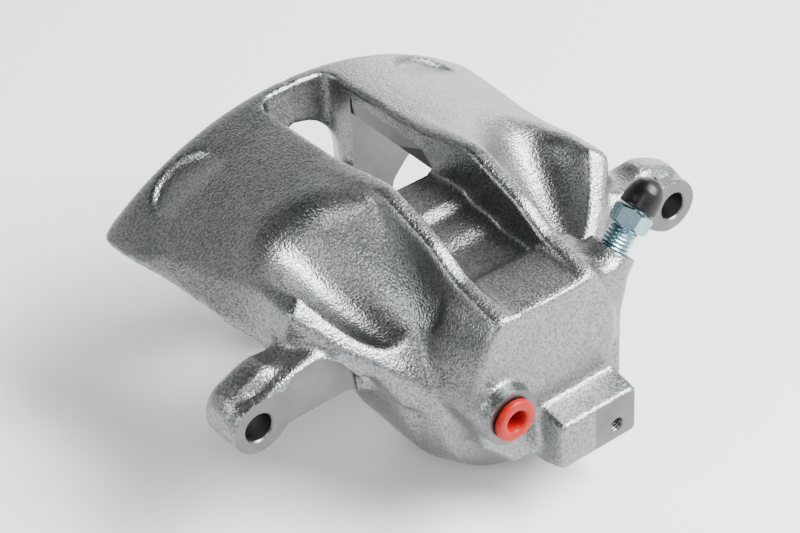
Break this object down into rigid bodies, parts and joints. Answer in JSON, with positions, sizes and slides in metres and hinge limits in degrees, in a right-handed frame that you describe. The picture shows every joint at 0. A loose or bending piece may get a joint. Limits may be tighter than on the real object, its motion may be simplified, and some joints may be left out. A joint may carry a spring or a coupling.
{
  "type": "brake caliper",
  "caption": "Floating brake caliper: cast body with cylinder, bridge and fingers, piston with seal and boot, bleed screw with cap, and plugged hose port.",
  "frame": {"origin": "on the surface that the caliper stands on, under the middle of its outer box", "axes": "+Z out of the brake disc, +Y from the cylinder towards the fingers along the piston's axis, +X towards the guide eye beside the bleed screw"},
  "size_m": [0.1784, 0.143, 0.0926],
  "materials": {
    "cast_zinc": "cast iron, zinc plated, fine grained",
    "piston_steel": "ground and plated steel",
    "seal_rubber": "smooth rubber",
    "boot_rubber": "matte moulded rubber",
    "ring_steel": "pressed steel",
    "zinc_steel": "blue zinc plating",
    "cap_rubber": "satin rubber",
    "plug_plastic": "moulded plastic"
  },
  "bodies": {
    "housing": {"caliper_housing": "cast_zinc", "piston_seal": "seal_rubber", "boot_retaining_ring": "ring_steel", "piston_boot": "boot_rubber"},
    "piston": {"piston": "piston_steel"},
    "bleed_screw": {"bleed_screw": "zinc_steel"},
    "bleed_cap": {"bleed_cap": "cap_rubber"},
    "inlet_plug": {"inlet_plug": "plug_plastic"}
  },
  "joints": [
    {"name": "piston_slide", "type": "slide", "parent": "housing", "child": "piston", "axis": [0, 1, 0], "range_m": [0, 0.022], "deforming": ["piston_boot"]},
    {"name": "bleed_screw_turn", "type": "hinge", "parent": "housing", "child": "bleed_screw", "pos_m": [0.0346, -0.049, 0.0684], "axis": [0.6947, 0, 0.7193], "range_deg": [0, 270]},
    {"name": "bleed_cap_pull", "type": "slide", "parent": "bleed_screw", "child": "bleed_cap", "axis": [0.6947, 0, 0.7193], "range_m": [0, 0.012]},
    {"name": "inlet_plug_pull", "type": "slide", "parent": "housing", "child": "inlet_plug", "axis": [0, -1, 0], "range_m": [0, 0.015]}
  ]
}
